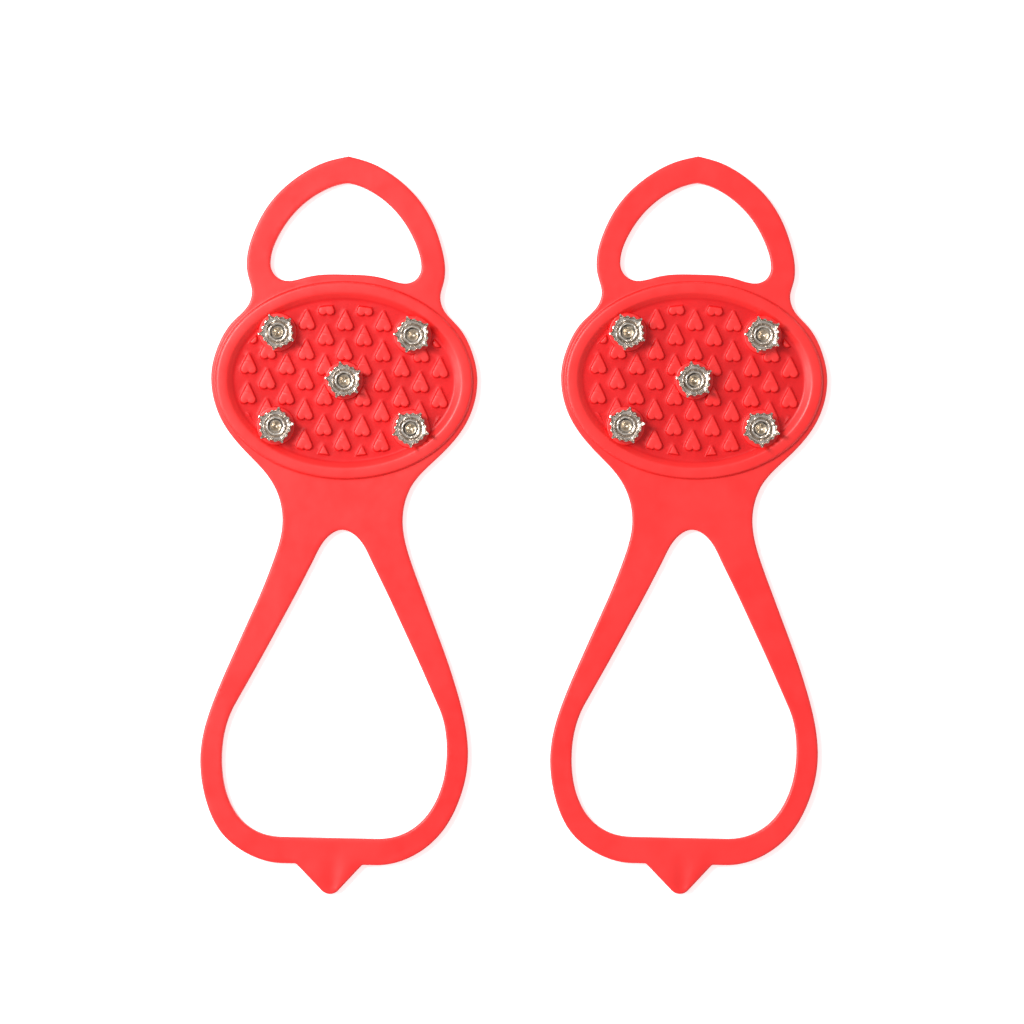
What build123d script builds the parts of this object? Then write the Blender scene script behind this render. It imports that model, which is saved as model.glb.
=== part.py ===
"""A pair of pull-on shoe ice cleats, lying flat with the studs up.

Each cleat is one soft rubber moulding: an oval stud pad with a toe loop ahead of it and a long
heel loop behind it. Five steel studs are riveted through the pad. The moulding is divided into
nodes only where the rubber bends or stretches. Millimetres, +Z up, +Y from heel to toe; the
origin is under the middle of the pair, on the surface it lies on.
"""
import os
from math import cos, hypot, radians, sin

from build123d import *

# Outline of one cleat, measured from the centre of its oval pad
TOE_TIP_Y = 76.1
PULL_TAB_TIP_Y = -174.0
HEEL_HALF_WIDTH = 45.4
PAD_HALF_WIDTH = 45.2
BAND_BOTTOM_Y = -164.2
BAND_TOP_Y = -155.3
PULL_TAB_TIP_RADIUS = 4.1

# Placing of the two cleats
PAIR_SPACING_X = 118.7
PAIR_STAGGER_Y = 2.6

# Heights of the moulding
STRAP_THICKNESS = 3.0
RIM_TOP_Z = 4.2
FLOOR_Z = 2.4
HEART_TOP_Z = 3.4
BOSS_TOP_Z = 3.5
STRAP_EDGE_RADIUS = 0.7

# Raised oval rim of the pad, as half axes across and along the cleat
RIM_FOOT = (43.6, 33.5)
RIM_SHOULDER = (42.8, 32.7)
RIM_INNER = (39.7, 29.6)
FLOOR_EDGE = (37.0, 27.2)

# Where the rubber is divided along the cleat
TOE_LOOP_START_Y = 48.0
PAD_END_Y = 37.0
PAD_START_Y = -38.0
NECK_START_Y = -49.5
FORK_START_Y = -64.0
BAND_ARM_END_Y = -146.0
SLAB_WIDTH = 200.0
SLAB_HEIGHT = 40.0

# Heart treads, tips towards the toe
HEART_WIDTH = 5.5
HEART_LENGTH = 7.0
HEART_COLUMN_PITCH = 6.5
HEART_ROW_PITCH = 5.1
HEART_ROWS = 5
HEART_COLUMNS = 5
HEART_FIELD = (36.9, 25.6)
HEART_FOLD_SHARE = 0.4
HEART_TIP_DROP = 0.6
HEART_ROOT = 0.2
HEART_LOBE_RADIUS = 1.54
HEART_TIP_RADIUS = 0.55
HEART_STUD_SPACING = 6.0

# Studs
STUD_X = 22.9
STUD_Y = 15.9
BOSS_RADIUS = 6.5
TEETH = 15
MAIN_TOOTH_EVERY = 3
MAIN_TOOTH_RADIUS = 6.3
SMALL_TOOTH_RADIUS = 5.15
TOOTH_ROOT_RADIUS = 4.55
CROWN_TOP_Z = 8.6
CROWN_SHEET = 0.7
CROWN_SEAT_RADIUS = 3.3
CROWN_BORE_RADIUS = 2.0
CROWN_TOOTH_TIP = 0.6
MAIN_TOOTH_TIP_DEG = 3.0
SMALL_TOOTH_TIP_DEG = 4.5
RIVET_RADIUS = 1.9
RIVET_HOLE_RADIUS = 2.0
RIVET_HEAD_RADIUS = 4.2
RIVET_HEAD_BOTTOM_Z = 0.1
RIVET_HEAD_THICKNESS = 0.8
RIVET_LIP_RADIUS = 3.25
RIVET_LIP_TOP_Z = 5.3
RIVET_DIMPLE_RADIUS = 1.5
RIVET_DIMPLE_Z = 3.9
RIVET_LIP_EDGE = 0.4
WASHER_RADIUS = 5.8
WASHER_THICKNESS = 0.6
POCKET_CLEARANCE = 0.1

STUD_PLACES = [(-STUD_X, STUD_Y), (STUD_X, STUD_Y), (0, 0), (-STUD_X, -STUD_Y), (STUD_X, -STUD_Y)]
STUD_TURNS = [44.6, 36.2, 31.0, 7.0, 57.0]
WASHER_BOTTOM_Z = RIVET_HEAD_BOTTOM_Z + RIVET_HEAD_THICKNESS
WASHER_TOP_Z = WASHER_BOTTOM_Z + WASHER_THICKNESS


def mirrored_face(half_edges):
    """A face from the edges of its right half, which start and end on the Y axis."""
    edges = half_edges + [mirror(edge, about=Plane.YZ) for edge in half_edges]
    return make_face(Wire.combine(edges)[0].edges())


def curve(points, start, end):
    """A smooth curve through points, with its end directions."""
    return Spline(*points, tangents=(start, end))


def outer_face():
    """The moulding's outline with no openings."""
    toe = (0, TOE_TIP_Y)
    leg = (33.7, 38.5)
    widest = (PAD_HALF_WIDTH, 0.5)
    neck = (20.4, -47.5)
    heel = (HEEL_HALF_WIDTH, -128.0)
    band = (16.0, BAND_BOTTOM_Y)
    tab_root = (13.0, BAND_BOTTOM_Y)
    tab_side = (9.7, -166.0)
    tip_radius = PULL_TAB_TIP_RADIUS
    tip_start = (tip_radius * sin(radians(45)), PULL_TAB_TIP_Y + tip_radius * (1 - cos(radians(45))))
    toe_side = curve([toe, (7.5, 74.1), (15.3, 70.0), (25.9, 60.0), (31.9, 48.0), leg], (1, 0), (0, -1))
    waist = curve([leg, (33.1, 34.0), (32.0, 29.5), (33.1, 25.0), (38.4, 19.0), (43.2, 10.5), widest],
                  (0, -1), (0, -1))
    hip = curve([widest, (41.5, -14.0), (31.8, -26.0), (23.8, -35.0), neck], (0, -1), (0, -1))
    side = curve([neck, (23.6, -62.0), (32.7, -85.0), (40.5, -105.0), heel], (0, -1), (0, -1))
    corner = curve([heel, (43.1, -142.0), (36.9, -154.0), (26.0, -162.0), band], (0, -1), (-1, 0))
    band_edge = Line(band, tab_root)
    tab_curve = curve([tab_root, tab_side], (-1, 0), (-1, -1))
    tab_edge = Line(tab_side, tip_start)
    tab_tip = TangentArc(tip_start, (0, PULL_TAB_TIP_Y), tangent=(-1, -1))
    return mirrored_face(
        [toe_side, waist, hip, side, corner, band_edge, tab_curve, tab_edge, tab_tip]
    )


def toe_opening():
    """The gap inside the toe loop."""
    side = (25.6, 39.0)
    low = (20.0, 33.4)
    arch = curve([(0, 67.0), (8.6, 64.0), (17.3, 57.0), (23.2, 48.0), side], (1, 0), (0, -1))
    corner = curve([side, (24.2, 35.3), low], (0, -1), (-1, 0))
    pad_edge = curve([low, (12.8, 35.0), (0, 36.0)], (-1, 0), (-1, 0))
    return mirrored_face([arch, corner, pad_edge])


def heel_opening():
    """The long gap inside the heel loop."""
    arm_start = (10.3, -62.0)
    arm_end = (34.6, -110.5)
    widest = (38.1, -127.0)
    low = (16.0, BAND_TOP_Y)
    arm_direction = (arm_end[0] - arm_start[0], arm_end[1] - arm_start[1])
    crotch = curve([(0, -50.7), (5.8, -54.0), arm_start], (1, 0), arm_direction)
    arm = Line(arm_start, arm_end)
    side = curve([arm_end, widest], arm_direction, (0, -1))
    corner = curve([widest, (36.1, -140.0), (30.0, -150.0), (23.6, -154.0), low], (0, -1), (-1, 0))
    band_edge = Line(low, (0, BAND_TOP_Y))
    return mirrored_face([crotch, arm, side, corner, band_edge])


def strap_plate():
    """The whole moulding as one flat plate with its upper edges rounded."""
    openings = [extrude(face, STRAP_THICKNESS) for face in (toe_opening(), heel_opening())]
    plate = extrude(outer_face(), STRAP_THICKNESS) - openings
    upper_edges = plate.edges().filter_by_position(Axis.Z, STRAP_THICKNESS, STRAP_THICKNESS)
    return fillet(upper_edges, STRAP_EDGE_RADIUS)


def slab(low_y, high_y):
    """All space between two stations along the cleat."""
    return Pos(0, (low_y + high_y) / 2, 0) * Box(SLAB_WIDTH, high_y - low_y, SLAB_HEIGHT)


def oval_disc(bottom_z, top_z, bottom_axes, top_axes):
    """An oval disc whose half axes change with height."""
    sections = [Pos(0, 0, bottom_z) * Ellipse(*bottom_axes), Pos(0, 0, top_z) * Ellipse(*top_axes)]
    return loft(sections)


def heart_face():
    """A heart with its tip towards +Y, centred on its own box."""
    lobe_x = HEART_WIDTH / 2 - HEART_LOBE_RADIUS
    lobe_y = HEART_LOBE_RADIUS - HEART_LENGTH / 2
    tip = Pos(0, HEART_LENGTH / 2 - HEART_TIP_RADIUS) * Circle(HEART_TIP_RADIUS)
    lobes = [Pos(side * lobe_x, lobe_y) * Circle(HEART_LOBE_RADIUS) for side in (-1, 1)]
    return make_hull(lobes[0].edges() + tip.edges()) + make_hull(lobes[1].edges() + tip.edges())


def heart_tread():
    """One heart that stands on the recess floor, its tip sloping down."""
    fold_y = HEART_LENGTH * (0.5 - HEART_FOLD_SHARE)
    side_view = Polyline(
        (-HEART_LENGTH, FLOOR_Z - HEART_ROOT),
        (HEART_LENGTH, FLOOR_Z - HEART_ROOT),
        (HEART_LENGTH / 2, HEART_TOP_Z - HEART_TIP_DROP),
        (fold_y, HEART_TOP_Z),
        (-HEART_LENGTH, HEART_TOP_Z),
        close=True,
    )
    slope = extrude(Plane.YZ * make_face(side_view), HEART_WIDTH, both=True)
    return extrude(heart_face(), HEART_TOP_Z) & slope


def heart_places():
    """Centres of the staggered hearts that no stud covers."""
    places = []
    for row in range(-HEART_ROWS, HEART_ROWS + 1):
        for column in range(-HEART_COLUMNS, HEART_COLUMNS + 1):
            x = column * HEART_COLUMN_PITCH
            y = row * HEART_ROW_PITCH
            clear = all(hypot(x - sx, y - sy) > HEART_STUD_SPACING for sx, sy in STUD_PLACES)
            reach = (abs(y) - HEART_LENGTH / 2) / HEART_FIELD[1]
            in_field = (x / HEART_FIELD[0]) ** 2 + max(reach, 0) ** 2 < 1
            if (row + column) % 2 == 0 and clear and in_field:
                places.append((x, y))
    return places


def stud_tool(radius, bottom_z, top_z):
    """Five upright cylinders, one at each stud."""
    height = top_z - bottom_z
    return [Pos(x, y, (bottom_z + top_z) / 2) * Cylinder(radius, height) for x, y in STUD_PLACES]


def sole_pad(plate):
    """The oval pad: raised rim, sunken floor, heart treads, stud bosses and stud pockets."""
    pad = plate & slab(PAD_START_Y, PAD_END_Y)
    pad += oval_disc(FLOOR_Z, RIM_TOP_Z, RIM_FOOT, RIM_SHOULDER)
    pad -= oval_disc(FLOOR_Z, RIM_TOP_Z, FLOOR_EDGE, RIM_INNER)
    heart = heart_tread()
    field = extrude(Ellipse(*HEART_FIELD), RIM_TOP_Z)
    pad += [(Pos(x, y, 0) * heart) & field for x, y in heart_places()]
    pad += stud_tool(BOSS_RADIUS, FLOOR_Z - HEART_ROOT, BOSS_TOP_Z)
    pad -= stud_tool(RIVET_HOLE_RADIUS, 0, BOSS_TOP_Z)
    pad -= stud_tool(WASHER_RADIUS + POCKET_CLEARANCE, 0, WASHER_TOP_Z)
    return pad


def crown(turn):
    """A pressed steel cup whose wall ends in a ring of teeth, every third one long."""
    seat_z = BOSS_TOP_Z
    wall = [
        (CROWN_BORE_RADIUS, seat_z),
        (CROWN_SEAT_RADIUS + CROWN_SHEET, seat_z),
        (MAIN_TOOTH_RADIUS, CROWN_TOP_Z - CROWN_TOOTH_TIP),
        (MAIN_TOOTH_RADIUS, CROWN_TOP_Z),
        (MAIN_TOOTH_RADIUS - CROWN_TOOTH_TIP, CROWN_TOP_Z),
        (CROWN_SEAT_RADIUS, seat_z + CROWN_SHEET),
        (CROWN_BORE_RADIUS, seat_z + CROWN_SHEET),
    ]
    cup = revolve(Plane.XZ * make_face(Polyline(*wall, close=True)), Axis.Z)
    star = Pos(0, 0, seat_z) * extrude(tooth_star(turn), CROWN_TOP_Z - seat_z)
    return cup & star


def tooth_star(turn):
    """The crown's outline from above: blunt teeth between rounded roots."""
    pitch = 360 / TEETH
    corners = []
    for tooth in range(TEETH):
        long_tooth = tooth % MAIN_TOOTH_EVERY == 0
        radius = MAIN_TOOTH_RADIUS if long_tooth else SMALL_TOOTH_RADIUS
        half_tip = MAIN_TOOTH_TIP_DEG if long_tooth else SMALL_TOOTH_TIP_DEG
        middle = turn + tooth * pitch
        corners.append(on_circle(radius, middle - half_tip))
        corners.append(on_circle(radius, middle + half_tip))
        corners.append(on_circle(TOOTH_ROOT_RADIUS, middle + pitch / 2))
    return make_face(Polyline(*corners, close=True))


def on_circle(radius, degrees):
    """A point at this angle on a circle about the origin."""
    return (radius * cos(radians(degrees)), radius * sin(radians(degrees)))


def rivet():
    """A semi-tubular rivet: flat head below, blind dimple and rolled lip above."""
    head_top_z = RIVET_HEAD_BOTTOM_Z + RIVET_HEAD_THICKNESS
    lip_bottom_z = BOSS_TOP_Z + CROWN_SHEET
    lip_edge_z = lip_bottom_z + RIVET_LIP_EDGE
    profile = [
        (0, RIVET_HEAD_BOTTOM_Z),
        (RIVET_HEAD_RADIUS, RIVET_HEAD_BOTTOM_Z),
        (RIVET_HEAD_RADIUS, head_top_z),
        (RIVET_RADIUS, head_top_z),
        (RIVET_RADIUS, lip_bottom_z),
        (RIVET_LIP_RADIUS, lip_bottom_z),
        (RIVET_LIP_RADIUS, lip_edge_z),
        (RIVET_DIMPLE_RADIUS + RIVET_LIP_EDGE, RIVET_LIP_TOP_Z),
        (RIVET_DIMPLE_RADIUS, RIVET_LIP_TOP_Z - RIVET_LIP_EDGE),
        (0, RIVET_DIMPLE_Z),
    ]
    return revolve(Plane.XZ * make_face(Polyline(*profile, close=True)), Axis.Z)


def backing_washer():
    """A flat steel ring between the rivet head and the rubber."""
    ring = Cylinder(WASHER_RADIUS, WASHER_THICKNESS) - Cylinder(RIVET_HOLE_RADIUS, WASHER_THICKNESS)
    return Pos(0, 0, WASHER_BOTTOM_Z + WASHER_THICKNESS / 2) * ring


def cleat_nodes():
    """Every node of one cleat about its pad centre, by name."""
    plate = strap_plate()
    toe_legs = (plate & slab(PAD_END_Y, TOE_LOOP_START_Y)).solids().sort_by(Axis.X)
    heel_arms = (plate & slab(BAND_ARM_END_Y, FORK_START_Y)).solids().sort_by(Axis.X)
    nodes = {
        "toe_loop": plate & slab(TOE_LOOP_START_Y, TOE_TIP_Y + 1),
        "sole_pad": sole_pad(plate),
        "heel_neck": plate & slab(NECK_START_Y, PAD_START_Y),
        "heel_fork": plate & slab(FORK_START_Y, NECK_START_Y),
        "heel_band": plate & slab(PULL_TAB_TIP_Y - 1, BAND_ARM_END_Y),
    }
    for side, leg, arm in zip(("left", "right"), toe_legs, heel_arms):
        nodes[f"toe_leg_{side}"] = leg
        nodes[f"heel_arm_{side}"] = arm
    for number, (place, turn) in enumerate(zip(STUD_PLACES, STUD_TURNS), 1):
        nodes[f"spike_crown_{number}"] = Pos(*place, 0) * crown(turn)
        nodes[f"stud_rivet_{number}"] = Pos(*place, 0) * rivet()
        nodes[f"backing_washer_{number}"] = Pos(*place, 0) * backing_washer()
    return nodes


def main():
    """Writes every node of both cleats, one file each."""
    os.makedirs("parts", exist_ok=True)
    nodes = cleat_nodes()
    middle_y = (TOE_TIP_Y + PULL_TAB_TIP_Y + PAIR_STAGGER_Y) / 2
    places = {
        "left": Pos(-PAIR_SPACING_X / 2, -middle_y, 0),
        "right": Pos(PAIR_SPACING_X / 2, PAIR_STAGGER_Y - middle_y, 0),
    }
    for cleat, place in places.items():
        for name, shape in nodes.items():
            export_step(place * shape, f"parts/{cleat}_{name}.step")


main()
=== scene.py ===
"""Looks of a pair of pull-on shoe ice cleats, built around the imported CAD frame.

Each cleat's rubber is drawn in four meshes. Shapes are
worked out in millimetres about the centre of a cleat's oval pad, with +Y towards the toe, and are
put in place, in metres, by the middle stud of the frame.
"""
import math

import bmesh
import bpy
import numpy as np
from mathutils import Matrix, Vector
from mathutils.geometry import delaunay_2d_cdt
from mathutils.kdtree import KDTree


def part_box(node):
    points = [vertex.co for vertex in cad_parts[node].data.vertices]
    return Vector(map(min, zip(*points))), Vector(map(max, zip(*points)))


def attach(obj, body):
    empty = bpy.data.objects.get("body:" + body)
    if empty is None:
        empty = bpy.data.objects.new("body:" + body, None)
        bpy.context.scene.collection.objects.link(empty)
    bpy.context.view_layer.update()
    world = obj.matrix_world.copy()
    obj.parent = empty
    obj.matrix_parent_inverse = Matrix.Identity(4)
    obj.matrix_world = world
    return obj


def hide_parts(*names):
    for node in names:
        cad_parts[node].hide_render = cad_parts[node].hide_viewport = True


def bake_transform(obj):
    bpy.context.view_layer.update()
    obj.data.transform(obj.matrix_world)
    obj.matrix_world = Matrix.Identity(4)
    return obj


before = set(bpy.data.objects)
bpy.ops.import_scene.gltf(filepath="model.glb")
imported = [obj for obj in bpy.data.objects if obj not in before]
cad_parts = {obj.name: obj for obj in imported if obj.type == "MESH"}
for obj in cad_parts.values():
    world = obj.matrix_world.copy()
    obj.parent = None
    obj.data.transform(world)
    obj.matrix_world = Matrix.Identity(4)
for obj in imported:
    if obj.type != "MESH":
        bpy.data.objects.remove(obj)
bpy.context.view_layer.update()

MM = 0.001
# Mesh attribute of the rubber that marks where shade is painted on the recess floor
RECESS_SHADE_ATTRIBUTE = "recess_painted_shade"
# Mesh attribute of the rivets: their tint, and the painted shade in the groove inside the lip
TINT_AND_SHADE = "tint_and_shade"
CLEATS = ("left", "right")

# Heights of the moulding
STRAP_TOP_Z = 3.0
STRAP_EDGE_RADIUS = 0.7
BACK_EDGE_RADIUS = 0.3
SIDE_MIDDLE_Z = 1.4
FLOOR_Z = 2.4
HEART_HEIGHT = 1.0

# Stations along the cleat
TOE_SEAM_Y = 37.0
NECK_SEAM_Y = -38.0
HEEL_SEAM_Y = -64.0
SEAMS = np.array((TOE_SEAM_Y, NECK_SEAM_Y, HEEL_SEAM_Y))

# The toe loop comes to a slight point
TOE_APEX_SLOPE = 0.22

# Mesh pitch: along edges, over the field, round the bosses, pockets, rivet holes and treads
EDGE_STEP = 0.8
FIELD_STEP = 1.25
BOSS_STEP = 0.5
POCKET_STEP = 0.6
HOLE_STEP = 0.35
FIELD_RIM_STEP = 0.6
LOBE_STEP = 0.28
TIP_STEP = 0.16
HEART_SIDE_STEP = 0.45
TAB_TIP_STEP = 0.4
CLEAR_OF_LINES = 0.42
RIGHT_END_X = 46
HALF_SPAN = 50.0
SLIVER = 1e-9
BLOCK = 4000

# Creases sharper than these angles stay sharp
RUBBER_CREASE_DEG = 42
CROWN_CREASE_DEG = 38
RIVET_CREASE_DEG = 40

# Studs
STUDS = 5
HOLE_RADIUS = 2.0
BOSS_RADIUS = 6.5
TEETH = 15
MAIN_TOOTH_EVERY = 3
STUD_TURNS = (44.6, 36.2, 31.0, 7.0, 57.0)

# Heart treads
HEART_WIDTH = 5.5
HEART_LENGTH = 7.0
HEART_COLUMN_PITCH = 6.5
HEART_ROW_PITCH = 5.1
HEART_ROWS = 5
HEART_FIELD = (36.9, 25.6)
HEART_FOLD_Y = 0.7
HEART_TIP_DROP = 0.6
LOBE_RADIUS = 1.54
TIP_RADIUS = 0.55
HEART_STUD_SPACING = 6.0
HEART_FOLD_STEP = 0.07
HEART_FOLD_STEP_LENGTH = 0.12
FIELD_MARGIN = 0.3
BOSS_OVERLAP = 0.35
BESIDE_HEART = 0.8

# The rim's ovals are this much longer across than along
OVAL_EXTRA = 10.1
RIM_CREST = 32.40
RELIEF_START = 34.5
NEAR_PAD = (46.0, 36.0)


def pad_centre(cleat):
    """The centre of a cleat's pad, in metres, under its middle stud."""
    low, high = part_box(f"{cleat}_stud_rivet_3")
    return np.array([(low.x + high.x) / 2, (low.y + high.y) / 2, 0.0])


def stud_places():
    """Stud centres about the pad centre, in millimetres."""
    middle = pad_centre("left")
    places = []
    for number in range(1, STUDS + 1):
        low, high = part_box(f"left_stud_rivet_{number}")
        centre = np.array([(low.x + high.x) / 2, (low.y + high.y) / 2, 0.0])
        places.append((centre - middle)[:2] / MM)
    return places


STUD_PLACES = stud_places()


# ---------------------------------------------------------------- camera
CAMERA_AIM = (-0.00147, 0.0043)
CAMERA_HEIGHT = 1.6
CAMERA_TURN = 1.25
PICTURE_WIDTH = 0.3473
SENSOR = 36.0


def add_camera():
    """A view straight down, with the pair turned slightly."""
    data = bpy.data.cameras.new("camera")
    data.sensor_width = SENSOR
    data.lens = SENSOR * CAMERA_HEIGHT / PICTURE_WIDTH
    data.clip_start = 0.05
    data.clip_end = 20
    camera = bpy.data.objects.new("camera", data)
    camera.location = (*CAMERA_AIM, CAMERA_HEIGHT + STRAP_TOP_Z * MM)
    camera.rotation_euler = (0, 0, math.radians(CAMERA_TURN))
    bpy.context.scene.collection.objects.link(camera)
    bpy.context.scene.camera = camera


add_camera()


# ---------------------------------------------------------------- plane curves
def even_steps(points, step):
    """The same line, walked in equal steps close to step."""
    points = np.asarray(points, float)
    walked = np.concatenate([[0], np.cumsum(np.hypot(*np.diff(points, axis=0).T))])
    count = max(2, int(round(walked[-1] / step)) + 1)
    stations = np.linspace(0, walked[-1], count)
    return np.stack([np.interp(stations, walked, points[:, axis]) for axis in (0, 1)], axis=1)


def curve(points, start, end):
    """A smooth line through points with its two end directions."""
    points = np.array(points, float)
    chord = np.hypot(*np.diff(points, axis=0).T)
    count = len(points)
    matrix = np.eye(count)
    slopes = np.zeros((count, 2))
    slopes[0] = np.array(start) / np.hypot(*start)
    slopes[-1] = np.array(end) / np.hypot(*end)
    for i in range(1, count - 1):
        before, after = 1 / chord[i - 1], 1 / chord[i]
        matrix[i, i - 1 : i + 2] = before, 2 * (before + after), after
        slopes[i] = 3 * (
            (points[i] - points[i - 1]) * before**2 + (points[i + 1] - points[i]) * after**2
        )
    slopes = np.linalg.solve(matrix, slopes)
    pieces = []
    for i, length in enumerate(chord):
        t = np.linspace(0, 1, 40)[:, None]
        pieces.append(
            (2 * t**3 - 3 * t**2 + 1) * points[i]
            + (t**3 - 2 * t**2 + t) * length * slopes[i]
            + (3 * t**2 - 2 * t**3) * points[i + 1]
            + (t**3 - t**2) * length * slopes[i + 1]
        )
    return even_steps(np.concatenate(pieces), EDGE_STEP)


def arc(centre, radius, start_deg, end_deg, step):
    """Points along a circular arc."""
    length = abs(math.radians(end_deg - start_deg)) * radius
    count = max(3, int(round(length / step)) + 1)
    angles = np.radians(np.linspace(start_deg, end_deg, count))
    return np.stack([centre[0] + radius * np.cos(angles), centre[1] + radius * np.sin(angles)], 1)


def mirrored_loop(parts):
    """A closed loop from the parts of its right half, which start and end on the Y axis."""
    half = [parts[0][0]]
    for part in parts:
        half.extend(part[1:])
    half = np.array(half)
    other = half[-2:0:-1] * (-1, 1)
    return np.concatenate([half, other])


def outer_loop():
    """The moulding's outline."""
    leg, widest, neck = (33.7, 38.5), (45.2, 0.5), (20.4, -47.5)
    heel, band, tab_root = (45.4, -128.0), (16.0, -164.2), (11.5, -164.2)
    tab_side, tip_radius, tip_y = (11.0, -164.45), 3.9, -174.3
    tip_centre = (0, tip_y + tip_radius)
    toe_side = [(0, 76.1), (7.5, 74.1), (15.3, 70.0), (25.9, 60.0), (31.9, 48.0), leg]
    waist = [leg, (33.1, 34.0), (32.0, 29.5), (33.1, 25.0), (38.4, 19.0), (43.2, 10.5), widest]
    hip = [widest, (41.5, -14.0), (31.8, -26.0), (23.8, -35.0), neck]
    side = [neck, (23.6, -62.0), (32.7, -85.0), (40.5, -105.0), heel]
    corner = [heel, (43.1, -142.0), (36.9, -154.0), (26.0, -162.0), band]
    tip = arc(tip_centre, tip_radius, -45, -90, TAB_TIP_STEP)
    return mirrored_loop(
        [
            curve(toe_side, (1, -TOE_APEX_SLOPE), (0, -1)),
            curve(waist, (0, -1), (0, -1)),
            curve(hip, (0, -1), (0, -1)),
            curve(side, (0, -1), (0, -1)),
            curve(corner, (0, -1), (-1, 0)),
            even_steps([band, tab_root], EDGE_STEP),
            curve([tab_root, tab_side], (-1, 0), (-1, -1)),
            even_steps([tab_side, tip[0]], EDGE_STEP),
            tip,
        ]
    )


def toe_opening_loop():
    """The gap inside the toe loop."""
    side, low = (25.6, 39.0), (20.0, 33.4)
    arch = [(0, 67.0), (8.6, 64.0), (17.3, 57.0), (23.2, 48.0), side]
    return mirrored_loop(
        [
            curve(arch, (1, -TOE_APEX_SLOPE / 2), (0, -1)),
            curve([side, (24.2, 35.3), low], (0, -1), (-1, 0)),
            curve([low, (12.8, 35.0), (0, 36.0)], (-1, 0), (-1, 0)),
        ]
    )


def heel_opening_loop():
    """The long gap inside the heel loop."""
    arm_start, arm_end, widest = (10.3, -62.0), (34.6, -110.5), (38.1, -127.0)
    low, low_middle = (16.0, -155.3), (0, -155.3)
    arm = (arm_end[0] - arm_start[0], arm_end[1] - arm_start[1])
    corner = [widest, (36.1, -140.0), (30.0, -150.0), (23.6, -154.0), low]
    return mirrored_loop(
        [
            curve([(0, -50.7), (5.8, -54.0), arm_start], (1, 0), arm),
            even_steps([arm_start, arm_end], EDGE_STEP),
            curve([arm_end, widest], arm, (0, -1)),
            curve(corner, (0, -1), (-1, 0)),
            even_steps([low, low_middle], EDGE_STEP),
        ]
    )


def circle_loop(centre, radius, step):
    """A closed circle."""
    return arc(centre, radius, 0, 360, step)[:-1]


def oval_loop(half_length, extra=OVAL_EXTRA, step=EDGE_STEP):
    """A closed oval about the pad centre: half_length along the cleat, extra more across it."""
    angles = np.linspace(0, 2 * np.pi, 720)
    line = np.stack([(half_length + extra) * np.cos(angles), half_length * np.sin(angles)], 1)
    return even_steps(line, step)[:-1]


def inset(loop, distance):
    """The loop moved sideways into the rubber; loops run with the rubber on the left."""
    if distance == 0:
        return loop
    ahead = np.roll(loop, -1, axis=0) - loop
    behind = loop - np.roll(loop, 1, axis=0)
    ahead /= np.hypot(*ahead.T)[:, None]
    behind /= np.hypot(*behind.T)[:, None]
    along = ahead + behind
    along /= np.hypot(*along.T)[:, None]
    lengthened = distance / np.clip((along * ahead).sum(1), 0.5, 1)
    return loop + np.stack([-along[:, 1], along[:, 0]], 1) * lengthened[:, None]


def signed_area(loop):
    """Positive for a loop that runs anticlockwise."""
    x, y = loop.T
    return 0.5 * np.sum(x * np.roll(y, -1) - y * np.roll(x, -1))


def turned(loop, anticlockwise):
    """The loop, run in the wanted direction."""
    return loop if (signed_area(loop) > 0) == anticlockwise else loop[::-1]


def distance_to_loops(points, loops):
    """The distance from each point to the nearest of the closed loops."""
    nearest = np.full(len(points), np.inf)
    for loop in loops:
        run = np.roll(loop, -1, axis=0) - loop
        length2 = (run**2).sum(1)
        for first in range(0, len(points), BLOCK):
            block = points[first : first + BLOCK]
            gap = block[:, None] - loop[None]
            t = np.clip((gap * run).sum(2) / length2, 0, 1)
            away = np.hypot(*np.moveaxis(gap - t[..., None] * run, 2, 0)).min(1)
            nearest[first : first + BLOCK] = np.minimum(nearest[first : first + BLOCK], away)
    return nearest


def inside(points, loop):
    """True for each point inside the closed loop."""
    result = np.zeros(len(points), bool)
    ends = np.roll(loop, -1, axis=0)
    for first in range(0, len(points), BLOCK):
        x, y = points[first : first + BLOCK].T
        crosses = (loop[None, :, 1] > y[:, None]) != (ends[None, :, 1] > y[:, None])
        with np.errstate(divide="ignore", invalid="ignore"):
            at_x = loop[:, 0] + (y[:, None] - loop[:, 1]) * (ends[:, 0] - loop[:, 0]) / (
                ends[:, 1] - loop[:, 1]
            )
        result[first : first + BLOCK] = (crosses & (x[:, None] < at_x)).sum(1) % 2 == 1
    return result


# ---------------------------------------------------------------- height profiles
EDGE_ANGLES = np.radians(np.linspace(0, 90, 6))
EDGE_INSETS = STRAP_EDGE_RADIUS * (1 - np.cos(EDGE_ANGLES))

# Across the rim, from the ledge outside it to the floor: half length of the oval, height
RIM_PROFILE = (
    (33.95, 3.00),
    (33.75, 3.03),
    (33.60, 3.13),
    (33.42, 3.50),
    (33.25, 3.85),
    (33.08, 4.05),
    (32.82, 4.16),
    (RIM_CREST, 4.20),
    (31.15, 4.23),
    (30.10, 4.20),
    (29.80, 4.15),
    (29.50, 4.00),
    (29.20, 3.77),
    (28.30, 3.06),
    (27.75, 2.66),
    (27.45, 2.49),
    (27.15, 2.42),
    (26.85, 2.40),
)
# In from the foot of a heart's wall: inset, and drop below its top or rise above the floor
HEART_FOOT = ((-0.34, 0.00), (-0.20, 0.05), (-0.10, 0.16))
HEART_TOP_EDGE = ((0.18, 0.22), (0.26, 0.10), (0.36, 0.03), (0.50, 0.00))
# Out from a stud's axis: radius, height above the floor
BOSS_PROFILE = (
    (6.08, 1.10),
    (6.22, 1.07),
    (6.34, 0.98),
    (6.40, 0.84),
    (6.50, 0.14),
    (6.60, 0.03),
    (6.75, 0.00),
)
POCKET_PROFILE = ((5.87, 1.50), (5.90, 0.16), (5.94, 0.05), (6.02, 0.00))

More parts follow.
